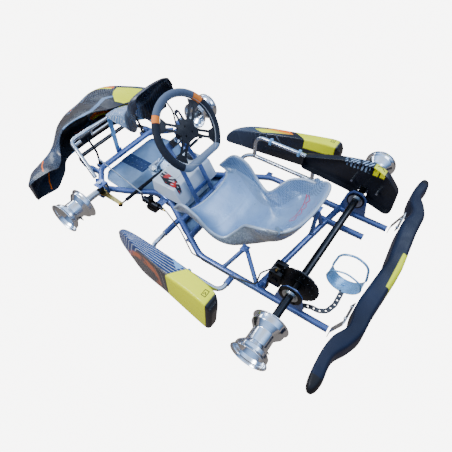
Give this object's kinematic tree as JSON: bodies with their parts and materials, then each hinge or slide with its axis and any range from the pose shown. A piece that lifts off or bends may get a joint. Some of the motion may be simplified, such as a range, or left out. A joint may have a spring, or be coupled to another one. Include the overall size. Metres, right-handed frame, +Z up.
{
  "type": "racing kart rolling chassis",
  "caption": "Tube-frame kart chassis with bucket seat, live rear axle, four bare rims, working steering and pedals, side pods, nose fairing and bumpers; no engine or tyres.",
  "frame": {"origin": "centre of the floor tray's flat underside, on the centreline", "axes": "+Y towards the nose, +X towards the driver's right, +Z up"},
  "size_m": [1.121, 1.7912, 0.4817],
  "materials": {
    "black_alloy": "black anodised",
    "cradle_blue": "light blue coat",
    "frame_blue": "metallic blue powder coat",
    "gold_alloy": "gold anodised",
    "heel_blue": "dark blue coated sheet",
    "plastic_black": "moulded black",
    "plastic_milk": "translucent white",
    "pod_blue": "dark blue",
    "rim_alloy": "polished",
    "rubber_black": "black",
    "seat_cloth": "quilted seat cloth",
    "seat_shell_grey": "grey glass-fibre laminate",
    "steel_bright": "zinc-plated steel",
    "steel_dark": "dark machined steel",
    "suede_grey": "grey suede wrap",
    "tray_alloy": "brushed sheet"
  },
  "bodies": {
    "chassis": {"axle_bearing_left": "steel_bright", "axle_bearing_right": "steel_bright", "bearing_carrier_left": "steel_dark", "bearing_carrier_right": "steel_dark", "brake_caliper": "black_alloy", "brake_hose": "rubber_black", "brake_master_cylinder": "black_alloy", "bumper_bracket_left": "steel_bright", "bumper_bracket_right": "steel_bright", "chain_guard": "plastic_black", "column_bearing_lower": "steel_bright", "column_bearing_upper": "plastic_black", "exhaust_cradle": "cradle_blue", "floor_tray": "tray_alloy", "frame": "frame_blue", "front_bumper_lower": "steel_dark", "front_bumper_upper": "steel_bright", "front_panel": "plastic_black", "front_panel_strut": "steel_bright", "fuel_tank": "plastic_milk", "heel_plate": "heel_blue", "kingpin_left": "steel_bright", "kingpin_right": "steel_bright", "nose_fairing": "plastic_black", "rear_bumper": "plastic_black", "seat_pad": "seat_cloth", "seat_shell": "seat_shell_grey", "side_bar_left": "steel_bright", "side_bar_right": "steel_bright", "side_pod_left": "pod_blue", "side_pod_right": "plastic_black"},
    "axle_assembly": {"rear_axle": "steel_dark", "rear_hub_left": "steel_bright", "rear_hub_right": "steel_bright", "rear_rim_left": "rim_alloy", "rear_rim_right": "rim_alloy", "brake_disc": "steel_dark", "brake_disc_hub": "black_alloy"},
    "steering": {"steering_column": "steel_bright", "steering_boss": "black_alloy", "steering_wheel_plate": "black_alloy", "steering_wheel_grip": "suede_grey"},
    "knuckle_left": {"stub_axle_left": "black_alloy", "steering_arm_left": "gold_alloy", "wheel_spacer_left": "steel_bright", "front_bearing_left": "steel_dark"},
    "knuckle_right": {"stub_axle_right": "black_alloy", "steering_arm_right": "gold_alloy", "wheel_spacer_right": "steel_bright", "front_bearing_right": "steel_dark"},
    "front_wheel_left": {"front_rim_left": "rim_alloy"},
    "front_wheel_right": {"front_rim_right": "rim_alloy"},
    "tie_rod_left": {"tie_rod_left": "black_alloy"},
    "tie_rod_right": {"tie_rod_right": "black_alloy"},
    "brake_pedal": {"brake_pedal": "black_alloy"},
    "throttle_pedal": {"throttle_pedal": "black_alloy"},
    "brake_rod": {"brake_rod": "steel_bright"},
    "brake_pad_left": {"brake_pad_left": "rubber_black"},
    "brake_pad_right": {"brake_pad_right": "rubber_black"},
    "fuel_cap": {"fuel_cap": "plastic_black"}
  },
  "joints": [
    {"name": "rear_axle_spin", "type": "hinge", "parent": "chassis", "child": "axle_assembly", "pos_m": [0, -0.607, 0.0995], "axis": [1, 0, 0], "continuous": true},
    {"name": "steering_turn", "type": "hinge", "parent": "chassis", "child": "steering", "pos_m": [0, 0.265, 0.0655], "axis": [0, -0.5715, 0.8206], "range_deg": [-50, 50]},
    {"name": "kingpin_left_turn", "type": "hinge", "parent": "chassis", "child": "knuckle_left", "pos_m": [-0.285, 0.34, 0.0955], "axis": [0, 0, 1], "range_deg": [-13.5, 13.5]},
    {"name": "front_wheel_left_spin", "type": "hinge", "parent": "knuckle_left", "child": "front_wheel_left", "pos_m": [-0.443, 0.34, 0.0955], "axis": [1, 0, 0], "continuous": true},
    {"name": "tie_rod_left_turn", "type": "hinge", "parent": "knuckle_left", "child": "tie_rod_left", "pos_m": [-0.29, 0.225, 0.071], "axis": [0, 0, 1], "range_deg": [-13.5, 13.5]},
    {"name": "kingpin_right_turn", "type": "hinge", "parent": "chassis", "child": "knuckle_right", "pos_m": [0.285, 0.34, 0.0955], "axis": [0, 0, 1], "range_deg": [-13.5, 13.5]},
    {"name": "front_wheel_right_spin", "type": "hinge", "parent": "knuckle_right", "child": "front_wheel_right", "pos_m": [0.443, 0.34, 0.0955], "axis": [1, 0, 0], "continuous": true},
    {"name": "tie_rod_right_turn", "type": "hinge", "parent": "knuckle_right", "child": "tie_rod_right", "pos_m": [0.29, 0.225, 0.071], "axis": [0, 0, 1], "range_deg": [-13.5, 13.5]},
    {"name": "brake_pedal_turn", "type": "hinge", "parent": "chassis", "child": "brake_pedal", "pos_m": [-0.15, 0.499, 0.0695], "axis": [-1, 0, 0], "range_deg": [0, 20]},
    {"name": "brake_rod_slide", "type": "slide", "parent": "chassis", "child": "brake_rod", "axis": [0.1351, 0.9894, 0.0531], "range_m": [0, 0.01345]},
    {"name": "brake_pad_left_slide", "type": "slide", "parent": "chassis", "child": "brake_pad_left", "axis": [1, 0, 0], "range_m": [0, 0.00035]},
    {"name": "brake_pad_right_slide", "type": "slide", "parent": "chassis", "child": "brake_pad_right", "axis": [-1, 0, 0], "range_m": [0, 0.00035]},
    {"name": "throttle_pedal_turn", "type": "hinge", "parent": "chassis", "child": "throttle_pedal", "pos_m": [0.15, 0.499, 0.0695], "axis": [-1, 0, 0], "range_deg": [0, 20]},
    {"name": "fuel_cap_turn", "type": "hinge", "parent": "chassis", "child": "fuel_cap", "pos_m": [0.095, 0.128, 0.1158], "axis": [0, 0, 1], "range_deg": [0, 120]}
  ],
  "couplings": [
    {"joint": "kingpin_left_turn", "follows": "steering_turn", "ratio": 0.27},
    {"joint": "tie_rod_left_turn", "follows": "steering_turn", "ratio": -0.27},
    {"joint": "kingpin_right_turn", "follows": "steering_turn", "ratio": 0.27},
    {"joint": "tie_rod_right_turn", "follows": "steering_turn", "ratio": -0.27},
    {"joint": "brake_rod_slide", "follows": "brake_pedal_turn", "m_per_rad": 0.0385},
    {"joint": "brake_pad_left_slide", "follows": "brake_pedal_turn", "m_per_rad": 0.001},
    {"joint": "brake_pad_right_slide", "follows": "brake_pedal_turn", "m_per_rad": 0.001}
  ]
}
